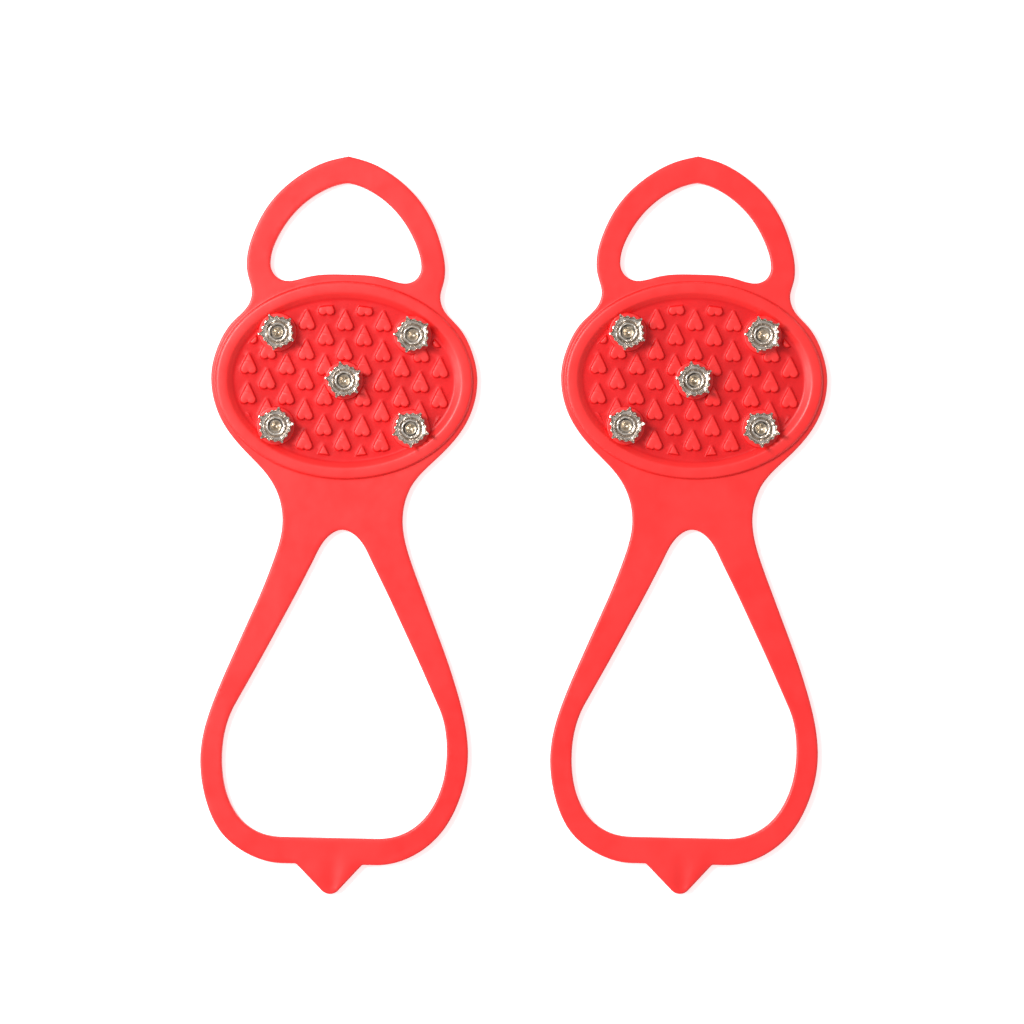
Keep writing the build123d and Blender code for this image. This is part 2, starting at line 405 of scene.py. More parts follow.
# Centres of a heart's right lobe and of its tip, about the middle of its box
HEART_LOBE = np.array([HEART_WIDTH / 2 - LOBE_RADIUS, LOBE_RADIUS - HEART_LENGTH / 2])
HEART_TIP = np.array([0, HEART_LENGTH / 2 - TIP_RADIUS])


def heart_loop(inset_by):
    """A heart's outline, moved in, about the middle of its box."""
    lobe_radius, tip_radius = LOBE_RADIUS - inset_by, TIP_RADIUS - inset_by
    run = HEART_TIP - HEART_LOBE
    heading = math.degrees(math.atan2(run[1], run[0]))
    side = heading - math.degrees(math.acos((lobe_radius - tip_radius) / np.hypot(*run)))
    notch = -180 + math.degrees(math.acos(min(1, HEART_LOBE[0] / lobe_radius)))
    lobe_arc = arc(HEART_LOBE, lobe_radius, notch, side, LOBE_STEP)
    tip_arc = arc(HEART_TIP, tip_radius, side, 90, TIP_STEP)
    straight = even_steps([lobe_arc[-1], tip_arc[0]], HEART_SIDE_STEP)
    half = np.concatenate([lobe_arc, straight[1:-1], tip_arc])
    half[0, 0] = 0
    half[-1, 0] = 0
    return np.concatenate([half, half[-2:0:-1] * (-1, 1)])


def heart_depth(points):
    """How far each point is inside a heart; negative outside it."""
    deepest = np.full(len(points), -np.inf)
    for flip in (1, -1):
        lobe = HEART_LOBE * (flip, 1)
        run = HEART_TIP - lobe
        length = np.hypot(*run)
        along = (points - lobe) @ (run / length)
        off = np.abs((points - lobe) @ (np.array([-run[1], run[0]]) / length))
        sine = (LOBE_RADIUS - TIP_RADIUS) / length
        cosine = math.sqrt(1 - sine**2)
        station = along * cosine - off * sine
        depth = np.where(
            station < 0,
            LOBE_RADIUS - np.hypot(off, along),
            np.where(
                station > length * cosine,
                TIP_RADIUS - np.hypot(off, along - length),
                LOBE_RADIUS - off * cosine - along * sine,
            ),
        )
        deepest = np.maximum(deepest, depth)
    return deepest


def heart_places():
    """Centres of the staggered hearts that no stud covers."""
    places = []
    span = range(-HEART_ROWS, HEART_ROWS + 1)
    for row in span:
        for column in span:
            x, y = column * HEART_COLUMN_PITCH, row * HEART_ROW_PITCH
            clear = all(np.hypot(x - sx, y - sy) > HEART_STUD_SPACING for sx, sy in STUD_PLACES)
            reach = max((abs(y) - HEART_LENGTH / 2) / HEART_FIELD[1], 0)
            in_field = (x / HEART_FIELD[0]) ** 2 + reach**2 < 1
            if (row + column) % 2 == 0 and clear and in_field:
                places.append((x, y))
    return places


def oval_station(points, extra):
    """The half length of the oval through each point."""
    low = np.full(len(points), 0.01)
    high = np.full(len(points), 400.0)
    x2, y2 = points[:, 0] ** 2, points[:, 1] ** 2
    for _ in range(40):
        middle = (low + high) / 2
        outside = x2 / (middle + extra) ** 2 + y2 / middle**2 > 1
        low = np.where(outside, middle, low)
        high = np.where(outside, high, middle)
    return (low + high) / 2


def steps(profile, values):
    """Heights read off a profile given as (station, height) rows."""
    rows = np.array(sorted(profile))
    return np.interp(values, rows[:, 0], rows[:, 1])


def hearts_height(points):
    """Height of the heart treads above the floor."""
    height = np.zeros(len(points))
    field_depth = HEART_FIELD[1] - oval_station(points, HEART_FIELD[0] - HEART_FIELD[1])
    for place in heart_places():
        local = points - place
        depth = np.minimum(heart_depth(local), field_depth)
        beyond = local[:, 1] - HEART_FOLD_Y
        slope = np.clip(beyond / (HEART_LENGTH / 2 - HEART_FOLD_Y), 0, 1)
        fold = np.clip(beyond / HEART_FOLD_STEP_LENGTH, 0, 1)
        top = HEART_HEIGHT - (HEART_TIP_DROP - HEART_FOLD_STEP) * slope - HEART_FOLD_STEP * fold
        foot = steps(HEART_FOOT, depth)
        edge_start, foot_end = HEART_TOP_EDGE[0][0], HEART_FOOT[-1][0]
        wall_top = top - HEART_TOP_EDGE[0][1]
        share = np.clip((depth - foot_end) / (edge_start - foot_end), 0, 1)
        wall = foot + (wall_top - foot) * share
        crest = top - steps(HEART_TOP_EDGE, depth)
        height = np.maximum(height, np.where(depth >= edge_start, crest, wall))
    return height


def smooth(values, start, end):
    """0 before start, 1 after end, and smooth between."""
    t = np.clip((values - start) / (end - start), 0, 1)
    return t * t * (3 - 2 * t)


# Folds of the pull tab: height, where across the tab, half width
TAB_FOLDS = ((0.24, 6.2, 3.4), (0.12, -3.6, 3.0), (-0.34, 1.3, 2.3))
TAB_FOLDS_Y = (-167.5, -158.0)
# Clear of a seam from here, and full relief from here
SEAM_CALM = (1.5, 7.0)
# The relief fades out towards the strap's edges
EDGE_CALM = (0.5, 2.4)


def strap_relief(points):
    """Soft unevenness of the flat rubber: none at the seams, most in the pull tab."""
    x, y = points.T
    tab = 1 - smooth(y, *TAB_FOLDS_Y)
    folds = sum(height * np.exp(-(((x - at) / width) ** 2)) for height, at, width in TAB_FOLDS)
    waves = 0.035 * np.sin(x / 6.1 + 0.8) * np.cos(y / 8.3) + 0.02 * np.sin(y / 4.7 + x / 9)
    from_seam = np.abs(y[:, None] - SEAMS).min(axis=1)
    return tab * folds + waves * smooth(from_seam, *SEAM_CALM)


def front_height(points, edge_distance):
    """Height of the rubber's upper side."""
    pad = steps(RIM_PROFILE, oval_station(points, OVAL_EXTRA))
    near_pad = np.hypot(points[:, 0] / NEAR_PAD[0], points[:, 1] / NEAR_PAD[1]) < 1
    pad = np.where(near_pad, pad, STRAP_TOP_Z)
    treads = np.where(near_pad, FLOOR_Z + hearts_height(points), 0)
    height = np.maximum(pad, treads)
    for place in STUD_PLACES:
        boss = FLOOR_Z + steps(BOSS_PROFILE, np.hypot(*(points - place).T))
        height = np.where(boss > FLOOR_Z, np.maximum(height, boss), height)
    relief = strap_relief(points) * smooth(edge_distance, *EDGE_CALM)
    height = height + np.where(oval_station(points, OVAL_EXTRA) > RELIEF_START, relief, 0)
    radius = STRAP_EDGE_RADIUS
    depth = np.clip(radius - edge_distance, 0, radius)
    return height - radius + np.sqrt(radius**2 - depth**2)


def back_height(points, edge_distance):
    """Height of the rubber's underside, with the washer pockets."""
    radius = BACK_EDGE_RADIUS
    depth = np.clip(radius - edge_distance, 0, radius)
    height = radius - np.sqrt(radius**2 - depth**2)
    for place in STUD_PLACES:
        height = np.maximum(height, steps(POCKET_PROFILE, np.hypot(*(points - place).T)))
    return height


# The real moulding doesn't lie quite straight: station along the cleat, sideways shift
LEAN = (
    (-174.0, -1.1),
    (-164.0, -1.6),
    (-156.0, -1.8),
    (-148.0, -1.4),
    (-136.0, -0.9),
    (-120.0, -0.4),
    (-108.0, 0.1),
    (-94.0, 0.6),
    (-72.0, 0.9),
    (-52.0, 0.6),
    (-34.0, 0.0),
    (32.0, 0.0),
    (44.0, -0.5),
    (60.0, -0.4),
    (76.0, -0.2),
)


# Half the length that the shift is smoothed over, and where the pad lies straight
LEAN_BLUR = 6
STRAIGHT_PAD = (-38, -33, 31, 36)


def lean(y):
    """Sideways shift of the rubber at each station."""
    rows = np.array(LEAN)
    stations = np.arange(rows[0, 0], rows[-1, 0], 1.0)
    shift = np.interp(stations, rows[:, 0], rows[:, 1])
    kernel = np.hanning(2 * LEAN_BLUR + 1)
    padded = np.pad(shift, LEAN_BLUR, mode="edge")
    shift = np.convolve(padded, kernel / kernel.sum(), mode="valid")
    return np.interp(y, stations, shift * np.interp(stations, STRAIGHT_PAD, (1, 0, 0, 1)))


# ---------------------------------------------------------------- rubber sheets
OUTER = turned(outer_loop(), True)
OPENINGS = [turned(toe_opening_loop(), False), turned(heel_opening_loop(), False)]
HOLES = [turned(circle_loop(place, HOLE_RADIUS, HOLE_STEP), False) for place in STUD_PLACES]
OUTLINE = [OUTER] + OPENINGS


def kept_runs(loop, keep):
    """The edges of a closed loop whose middle passes keep, as pairs of points."""
    ends = np.roll(loop, -1, axis=0)
    wanted = keep((loop + ends) / 2)
    return [(a, b) for a, b, ok in zip(loop, ends, wanted) if ok]


def whole(loop):
    """Every edge of a closed loop, as pairs of points."""
    return list(zip(loop, np.roll(loop, -1, axis=0)))


def heart_edges():
    """Every line that a heart's height changes along, clipped to the field and the bosses."""
    rings = [heart_loop(distance) for distance, _ in HEART_FOOT + HEART_TOP_EDGE]
    inner = rings[-1]
    side_x, side_y = inner[len(inner) // 8 : len(inner) // 2].T
    half_width = np.interp(HEART_FOLD_Y, side_y, side_x)
    edges = []

    def keep(middles):
        station = oval_station(middles, HEART_FIELD[0] - HEART_FIELD[1])
        clear = station < HEART_FIELD[1] + FIELD_MARGIN
        for place in STUD_PLACES:
            clear &= np.hypot(*(middles - place).T) > BOSS_RADIUS - BOSS_OVERLAP
        return clear

    for place in heart_places():
        for ring in rings:
            edges += kept_runs(ring + place, keep)
        for fold_y in (HEART_FOLD_Y, HEART_FOLD_Y + HEART_FOLD_STEP_LENGTH):
            fold = np.array([(-half_width, fold_y), (half_width, fold_y)]) + place
            if keep(fold).all():
                edges.append((fold[0], fold[1]))
    return edges


def front_edges():
    """Lines of the upper side."""
    edges = []
    for distance in EDGE_INSETS:
        for loop in OUTLINE:
            edges += whole(inset(loop, distance))
    for half_length, _ in RIM_PROFILE:
        edges += whole(oval_loop(half_length))
    field_extra = HEART_FIELD[0] - HEART_FIELD[1]
    for distance, _ in HEART_FOOT + HEART_TOP_EDGE:
        ring = oval_loop(HEART_FIELD[1] - distance, field_extra, FIELD_RIM_STEP)
        edges += kept_runs(ring, near_heart)
    for place in STUD_PLACES:
        for radius, _ in BOSS_PROFILE:
            edges += whole(circle_loop(place, radius, BOSS_STEP))
    return edges + heart_edges()


def near_heart(points):
    """True for points in or beside a heart."""
    result = np.zeros(len(points), bool)
    for place in heart_places():
        result |= heart_depth(points - place) > -BESIDE_HEART
    return result


def back_edges():
    """Lines of the underside."""
    edges = []
    for distance in EDGE_INSETS:
        for loop in OUTLINE:
            edges += whole(inset(loop, distance))
    for place in STUD_PLACES:
        for radius, _ in POCKET_PROFILE:
            edges += whole(circle_loop(place, radius, POCKET_STEP))
    return edges


def seam_edges():
    """Straight cuts across the rubber where one mesh ends and the next starts."""
    edges = []
    stations = np.arange(-HALF_SPAN, HALF_SPAN + 0.1, FIELD_STEP)
    for y in SEAMS:
        for start, end in zip(stations, stations[1:]):
            edges.append((np.array((start, y)), np.array((end, y))))
    return edges


def field_points(edges):
    """Even filler points over the rubber, clear of every line."""
    ends = np.array(edges).reshape(-1, 2)
    tree = KDTree(len(ends))
    for i, point in enumerate(ends):
        tree.insert((*point, 0), i)
    tree.balance()
    points = []
    row_step = FIELD_STEP * math.sqrt(3) / 2
    for row, y in enumerate(np.arange(OUTER[:, 1].min(), OUTER[:, 1].max(), row_step)):
        left_end = OUTER[:, 0].min() + (row % 2) * FIELD_STEP / 2
        for x in np.arange(left_end, RIGHT_END_X, FIELD_STEP):
            points.append((x, y))
    points = np.array(points)
    points = points[in_rubber(points)]
    clear = [p for p in points if tree.find((*p, 0))[2] > CLEAR_OF_LINES]
    return [p for p in clear if np.abs(SEAMS - p[1]).min() > CLEAR_OF_LINES]


def in_rubber(points):
    """True for points in the moulding's outline and in none of its gaps."""
    result = inside(points, OUTER)
    for loop in OPENINGS + HOLES:
        result &= ~inside(points, loop)
    return result


def triangles(edges):
    """The rubber's plan cut into triangles along every edge: (points, triangles)."""
    hole_edges = []
    for loop in HOLES:
        hole_edges += whole(loop)
    lines = edges + hole_edges + seam_edges()
    keys, places, pairs = {}, [], []
    for a, b in lines:
        pair = []
        for point in (a, b):
            key = (round(point[0], 4), round(point[1], 4))
            if key not in keys:
                keys[key] = len(places)
                places.append(Vector(point))
            pair.append(keys[key])
        if pair[0] != pair[1]:
            pairs.append(pair)
    places += [Vector(point) for point in field_points(edges + hole_edges)]
    points, _, faces, _, _, _ = delaunay_2d_cdt(places, pairs, [], 0, 1e-5)
    points = np.array(points)
    faces = np.array([face for face in faces if len(face) == 3])
    faces = faces[in_rubber(points[faces].mean(axis=1))]
    a, b, c = (points[faces[:, i]] for i in range(3))
    turn = (b[:, 0] - a[:, 0]) * (c[:, 1] - a[:, 1]) - (b[:, 1] - a[:, 1]) * (c[:, 0] - a[:, 0])
    faces = np.where((turn < 0)[:, None], faces[:, ::-1], faces)
    return points, faces[np.abs(turn) > SLIVER]


def sheet_part(points, faces, low_y, high_y):
    """The triangles between two stations, with only the points that they use."""
    middle = points[faces][:, :, 1].mean(axis=1)
    chosen = faces[(middle > low_y) & (middle < high_y)]
    used, renumbered = np.unique(chosen, return_inverse=True)
    return used, renumbered.reshape(-1, 3)


def border(faces):
    """Edges with a triangle on one side only, run with the rubber on the left."""
    directed = {}
    for a, b, c in faces.tolist():
        for edge in ((a, b), (b, c), (c, a)):
            directed[edge] = True
    return [edge for edge in directed if (edge[1], edge[0]) not in directed]


FRONT_PLAN, FRONT_FACES = triangles(front_edges())
BACK_PLAN, BACK_FACES = triangles(back_edges())
FRONT_Z = front_height(FRONT_PLAN, distance_to_loops(FRONT_PLAN, OUTLINE))
BACK_Z = back_height(BACK_PLAN, distance_to_loops(BACK_PLAN, OUTLINE))


def recess_painted_shade(points):
    """1 on the open rubber and 0 down on the recess floor, where shade is painted as a deeper red.
    """
    in_recess = oval_station(points[:, :2], OVAL_EXTRA) < RIM_CREST
    lowered = 1 - smooth(points[:, 2], FLOOR_Z + 0.1, FLOOR_Z + HEART_HEIGHT - 0.1)
    return 1 - np.where(in_recess, lowered, 0)


def rubber_mesh(name, low_y, high_y):
    """A closed mesh of the rubber between two stations, about the pad centre."""
    front_used, front = sheet_part(FRONT_PLAN, FRONT_FACES, low_y, high_y)
    back_used, back = sheet_part(BACK_PLAN, BACK_FACES, low_y, high_y)
    front_points = np.column_stack([FRONT_PLAN[front_used], FRONT_Z[front_used]])
    back_points = np.column_stack([BACK_PLAN[back_used], BACK_Z[back_used]])
    first_back = len(front_points)
    faces = front.tolist() + (back[:, ::-1] + first_back).tolist()
    middle_points, keys = [], {}
    first_middle = first_back + len(back_points)

    def middle(point):
        key = (round(point[0], 3), round(point[1], 3))
        if key not in keys:
            keys[key] = first_middle + len(middle_points)
            middle_points.append((point[0], point[1], SIDE_MIDDLE_Z))
        return keys[key]

    for a, b in border(front):
        faces.append((a, middle(front_points[a]), middle(front_points[b]), b))
    for a, b in border(back):
        over_a, over_b = middle(back_points[a]), middle(back_points[b])
        faces.append((over_a, a + first_back, b + first_back, over_b))
    points = np.concatenate([front_points, back_points, np.array(middle_points)])
    points[:, 0] += lean(points[:, 1])
    mesh = bpy.data.meshes.new(name)
    mesh.from_pydata((points * MM).tolist(), [], faces)
    mesh.update()
    # Painted shade: 0 on the recess floor, which gets a darker red, 1 on the open rubber
    unshaded_share = mesh.attributes.new(RECESS_SHADE_ATTRIBUTE, "FLOAT", "POINT")
    unshaded_share.data.foreach_set("value", recess_painted_shade(points).astype(np.float32))
    return mesh


def shade(mesh, sharp_deg):
    """Smooth shading with creases kept sharp."""
    mesh.polygons.foreach_set("use_smooth", np.ones(len(mesh.polygons), bool))
    mesh.set_sharp_from_angle(angle=math.radians(sharp_deg))


def put(mesh, name, place, material):
    """A new object of a mesh, moved in its own data to a place in the frame."""
    mesh = mesh.copy()
    mesh.name = name
    mesh.transform(Matrix.Translation(Vector(place)))
    mesh.materials.append(material)
    obj = bpy.data.objects.new(name, mesh)
    bpy.context.scene.collection.objects.link(obj)
    return obj


# ---------------------------------------------------------------- materials
class Nodes:
    """A new material and short calls that add and join its nodes."""

    def __init__(self, name):
        self.material = bpy.data.materials.new(name)
        self.material.use_nodes = True
        self.tree = self.material.node_tree
        self.tree.nodes.clear()
        self.output = self.add("ShaderNodeOutputMaterial")
        self.shader = self.add("ShaderNodeBsdfPrincipled")
        self.join(self.shader.outputs["BSDF"], self.output.inputs["Surface"])
        self.place = self.add("ShaderNodeTexCoord").outputs["Object"]

    def add(self, kind, **settings):
        """A new node with its settings."""
        node = self.tree.nodes.new(kind)
        for key, value in settings.items():
            setattr(node, key, value)
        return node

    def join(self, output, socket):
        self.tree.links.new(output, socket)

    def noise(self, scale, detail=3.0, roughness=0.5, stretch=None):
        """Noise fixed to the piece; stretch scales its space along each axis."""
        node = self.add("ShaderNodeTexNoise")
        node.inputs["Scale"].default_value = scale
        node.inputs["Detail"].default_value = detail
        node.inputs["Roughness"].default_value = roughness
        place = self.place
        if stretch:
            mapping = self.add("ShaderNodeMapping")
            mapping.inputs["Scale"].default_value = stretch
            self.join(self.place, mapping.inputs["Vector"])
            place = mapping.outputs["Vector"]
        self.join(place, node.inputs["Vector"])
        return node.outputs["Fac"]

    def ramp(self, value, stops):
        """A colour read off (position, colour) stops."""
        node = self.add("ShaderNodeValToRGB")
        for _ in range(len(stops) - 2):
            node.color_ramp.elements.new(0.5)
        for element, (position, colour) in zip(node.color_ramp.elements, stops):
            element.position = position
            element.color = (*colour, 1)
        self.join(value, node.inputs["Fac"])
        return node.outputs["Color"]

    def spread(self, value, low, high, start=0.35, end=0.65):
        """From low to high while value goes from start to end."""
        node = self.add("ShaderNodeMapRange")
        node.inputs["From Min"].default_value = start
        node.inputs["From Max"].default_value = end
        node.inputs["To Min"].default_value = low
        node.inputs["To Max"].default_value = high
        self.join(value, node.inputs["Value"])
        return node.outputs["Result"]

    def mix(self, share, first, second):
        """The first colour at share 0, the second at 1."""
        node = self.add("ShaderNodeMix", data_type="RGBA")
        self.join(share, node.inputs["Factor"])
        self.join(first, node.inputs["A"])
        self.join(second, node.inputs["B"])
        return node.outputs["Result"]

    def bump(self, value, strength, distance, under=None):
        """Surface relief from value, on top of the relief under it."""
        node = self.add("ShaderNodeBump")
        node.inputs["Strength"].default_value = strength
        node.inputs["Distance"].default_value = distance
        self.join(value, node.inputs["Height"])
        if under:
            self.join(under, node.inputs["Normal"])
        return node.outputs["Normal"]

    def set(self, **values):
        """Constants on the shader's own sockets."""
        for name, value in values.items():
            self.shader.inputs[name.replace("_", " ")].default_value = value


def red_rubber():
    """Semi-gloss red elastomer, with painted shade on the recess floor: a deeper red and less
    specular there.
    """
    nodes = Nodes("red_rubber")
    open_colour = nodes.ramp(
        nodes.noise(24, 3), [(0.36, (0.90, 0.011, 0.010)), (0.66, (0.93, 0.020, 0.018))]
    )
    # Painted shade: the darker, deeper red of the recess floor
    recess_shade_colour = nodes.ramp(
        nodes.noise(60, 4), [(0.35, (0.66, 0.003, 0.005)), (0.65, (0.76, 0.007, 0.009))]
    )
    unshaded_share = nodes.add("ShaderNodeAttribute", attribute_name=RECESS_SHADE_ATTRIBUTE).outputs["Fac"]
    nodes.join(nodes.mix(unshaded_share, recess_shade_colour, open_colour), nodes.shader.inputs["Base Color"])
    # The painted shade also takes specular off the recess floor
    specular = nodes.spread(unshaded_share, 0.50, 0.85, start=0, end=1)
    roughness = nodes.spread(nodes.noise(160, 5), 0.40, 0.48)
    nodes.join(specular, nodes.shader.inputs["Specular IOR Level"])
    nodes.join(roughness, nodes.shader.inputs["Roughness"])
    grain = nodes.bump(nodes.noise(2600, 3), strength=0.12, distance=0.12 * MM)
    waves = nodes.bump(nodes.noise(90, 2), strength=0.30, distance=0.6 * MM, under=grain)
    nodes.join(waves, nodes.shader.inputs["Normal"])
    nodes.set(IOR=1.45)
    return nodes.material


# Painted shade: near-black, rough and not metallic, for the groove inside the rivet's rolled lip
GROOVE_SHADE_PAINT = [(0.42, (0.03, 0.025, 0.02)), (0.58, (0.26, 0.22, 0.18))]
DARK_ROUGHNESS = 0.75


def steel(name, dark, light, tint_scale, rough, hollow=None):
    """Plated steel with worn, uneven gloss; hollow is its tint where a mesh marks it, and past the
    tint a near-black painted shade.
    """
    nodes = Nodes(name)
    colour = nodes.ramp(nodes.noise(tint_scale, 5, 0.6), [(0.32, dark), (0.68, light)])
    gloss = nodes.spread(nodes.noise(900, 5), *rough)
    if hollow:
        tint_and_shade = nodes.add("ShaderNodeAttribute", attribute_name=TINT_AND_SHADE).outputs["Fac"]
        tint = nodes.ramp(nodes.noise(800, 4), hollow)
        tinted = nodes.mix(nodes.spread(tint_and_shade, 0, 1, start=0, end=0.5), colour, tint)
        # Painted shade: the groove goes to near-black
        groove_shade = nodes.ramp(nodes.noise(450, 3), GROOVE_SHADE_PAINT)
        colour = nodes.mix(nodes.spread(tint_and_shade, 0, 1, start=0.5, end=1), tinted, groove_shade)
        gloss = nodes.spread(tint_and_shade, rough[1], DARK_ROUGHNESS, start=0.5, end=1)
        metallic = nodes.spread(tint_and_shade, 1, 0, start=0.5, end=1)
        nodes.join(metallic, nodes.shader.inputs["Metallic"])
    nodes.join(colour, nodes.shader.inputs["Base Color"])
    nodes.join(gloss, nodes.shader.inputs["Roughness"])
    streaks = nodes.noise(700, 2, roughness=0.4, stretch=(1, 1, 0.2))
    drawn = nodes.bump(streaks, strength=0.10, distance=0.1 * MM)
    nodes.join(drawn, nodes.shader.inputs["Normal"])
    if not hollow:
        nodes.set(Metallic=1.0)
    return nodes.material


RUBBER = red_rubber()
SPIKE_STEEL = steel("spike_steel", (0.54, 0.48, 0.42), (0.84, 0.76, 0.69), 400, (0.20, 0.28))
HOLLOW_TINT = [(0.32, (0.36, 0.28, 0.19)), (0.68, (0.78, 0.65, 0.50))]
RIVET_STEEL = steel(
    "rivet_steel", (0.78, 0.71, 0.65), (0.95, 0.91, 0.86), 400, (0.20, 0.28), HOLLOW_TINT
)
WASHER_STEEL = steel("washer_steel", (0.36, 0.36, 0.37), (0.52, 0.52, 0.53), 500, (0.28, 0.42))


# ---------------------------------------------------------------- rubber pieces
def add_rubber():
    """The moulding of each cleat, in four meshes that meet without a gap."""
    top, bottom = OUTER[:, 1].max() + 1, OUTER[:, 1].min() - 1
    sole = rubber_mesh("sole_rubber", NECK_SEAM_Y, TOE_SEAM_Y)
    toe = rubber_mesh("toe_rubber", TOE_SEAM_Y, top)
    neck = rubber_mesh("neck_rubber", HEEL_SEAM_Y, NECK_SEAM_Y)
    heel = rubber_mesh("heel_rubber", bottom, HEEL_SEAM_Y)
    for mesh in (sole, toe, neck, heel):
        shade(mesh, RUBBER_CREASE_DEG)
    for cleat in CLEATS:
        place = pad_centre(cleat)

        def station(y):
            return (place[0], place[1] + y * MM, SIDE_MIDDLE_Z * MM)

        pad = put(sole, f"{cleat}_sole_rubber", place, RUBBER)
        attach(pad, f"{cleat}_sole")
        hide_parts(f"{cleat}_sole_pad")
        loop = put(toe, f"{cleat}_toe_rubber", place, RUBBER)
        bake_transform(loop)
        toe_nodes = [f"{cleat}_toe_loop", f"{cleat}_toe_leg_left", f"{cleat}_toe_leg_right"]
        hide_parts(*toe_nodes)
        throat = put(neck, f"{cleat}_neck_rubber", place, RUBBER)
        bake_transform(throat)
        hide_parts(f"{cleat}_heel_neck", f"{cleat}_heel_fork")
        hoop = put(heel, f"{cleat}_heel_rubber", place, RUBBER)
        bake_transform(hoop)
        heel_nodes = [f"{cleat}_heel_arm_left", f"{cleat}_heel_arm_right", f"{cleat}_heel_band"]
        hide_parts(*heel_nodes)


# ---------------------------------------------------------------- stud pieces
SAME_PLACE = 1e-7


def ring_mesh(name, columns):
    """A closed mesh from the outlines of its radial sections, which join round a circle."""
    columns = np.array(columns)
    count, length = columns.shape[:2]
    points = columns.reshape(-1, 3)
    faces = []
    for i in range(count):
        here, after = i * length, ((i + 1) % count) * length
        for j in range(length):
            k = (j + 1) % length
            faces.append((here + j, after + j, after + k, here + k))
    mesh = bpy.data.meshes.new(name)
    mesh.from_pydata((points * MM).tolist(), [], faces)
    shell = bmesh.new()
    shell.from_mesh(mesh)
    bmesh.ops.remove_doubles(shell, verts=shell.verts, dist=SAME_PLACE)
    shell.to_mesh(mesh)
    shell.free()
    return mesh


def around(radius, height, angle):
    """A point at a radius and height, turned about the stud's axis."""
    return (radius * math.cos(angle), radius * math.sin(angle), height)


ROOT_DEG = 180 / TEETH
CORNERS = TEETH // MAIN_TOOTH_EVERY
# Where a tooth's columns stand, from its root (0) to the edge of its blunt tip (1)
FLANK_STATIONS = (0.0, 0.22, 0.44, 0.66, 0.86, 1.0)
MAIN_TIP_DEG = 2.9
SMALL_TIP_DEG = 4.0
# Up the cup's wall at the middle of a side: outer radius, height, share of the corners' reach
OUTER_WALL = (
    (3.90, 3.50, 0.00),
    (4.20, 3.62, 0.10),
    (4.48, 3.88, 0.28),
    (4.70, 4.20, 0.48),
    (4.88, 4.56, 0.66),
    (5.02, 5.00, 0.84),
    (5.12, 5.55, 1.00),
)
INNER_WALL = (
    (3.30, 4.21, 0.00),
    (3.52, 4.36, 0.04),
    (3.76, 4.60, 0.14),
    (3.98, 4.84, 0.28),
    (4.15, 4.99, 0.44),
    (4.34, 5.10, 0.64),
    (4.50, 5.21, 0.82),
    (4.61, 5.36, 0.94),
    (4.70, 5.62, 1.00),
)
CORNER_REACH = 0.66
PLEAT_DEPTH = 0.20
CROWN_BORE = 2.0
CROWN_PLATE_Z = (3.5, 4.2)
MAIN_TIP = (6.42, 8.50)
SMALL_TIP = (5.42, 6.85)
TIP_SHEET = 0.46
TIP_BEVEL = 0.09
TIP_SLOPE = 0.04
TOOTH_ROWS = 4
# How a flank sweeps from root to tip: power of the share for the radius and for the height
FLANK_POWERS = (1.3, 1.15)


def crown_columns():
    """Each column of the crown: its angle, and its share of the way from root to tip."""
    columns = []
    for tooth in range(TEETH):
        main = tooth % MAIN_TOOTH_EVERY == 0
        tip_deg = MAIN_TIP_DEG if main else SMALL_TIP_DEG
        rising = [(-ROOT_DEG + (ROOT_DEG - tip_deg) * share, share) for share in FLANK_STATIONS]
        falling = [(-offset, share) for offset, share in rising[:0:-1]]
        for offset, share in rising + [(0.0, 1.0)] + falling:
            columns.append((math.radians(tooth * 2 * ROOT_DEG + offset), share, main))
    return columns


def corner_share(angle):
    """1 at a corner of the five-sided cup, 0 in the middle of a side."""
    half = math.pi / CORNERS
    away = abs((angle + half) % (2 * half) - half)
    flat = math.cos(half)
    return (flat / math.cos(half - away) - flat) / (1 - flat)


def crown_section(angle, share, main):
    """The crown's closed section, seen from the side, at one column."""
    reach = CORNER_REACH * corner_share(angle)
    bulge = reach + PLEAT_DEPTH * (share - 0.5)
    outer = [(radius + bulge * part, height) for radius, height, part in OUTER_WALL]
    inner = [(radius + bulge * part, height) for radius, height, part in INNER_WALL]
    tip_radius, tip_z = MAIN_TIP if main else SMALL_TIP
    root_radius, root_z = outer[-1]
    top_radius = root_radius + (tip_radius - root_radius) * share ** FLANK_POWERS[0]
    top_z = root_z + (tip_z - root_z) * share ** FLANK_POWERS[1]
    inner_root = inner[-1]
    for row in range(1, TOOTH_ROWS + 1):
        part = row / TOOTH_ROWS
        outer.append(
            (root_radius + (top_radius - root_radius) * part, root_z + (top_z - root_z) * part)
        )
        inner.append(
            (
                inner_root[0] + (top_radius - TIP_SHEET - inner_root[0]) * part,
                inner_root[1] + (top_z - root_z) * part,
            )
        )
    edge_z = outer[-1][1] + TIP_BEVEL
    edge = [(outer[-1][0] - TIP_BEVEL, edge_z), (inner[-1][0] + TIP_BEVEL, edge_z + TIP_SLOPE)]
    low, high = [(CROWN_BORE, z) for z in CROWN_PLATE_Z]
    section = [low] + outer + edge + inner[::-1] + [high]
    return [around(radius, height, angle) for radius, height in section]


def crown_mesh():
    """A pressed steel cup with a pleated wall and a ring of blunt teeth."""
    columns = [crown_section(*column) for column in crown_columns()]
    mesh = ring_mesh("spike_crown", columns)
    shade(mesh, CROWN_CREASE_DEG)
    return mesh
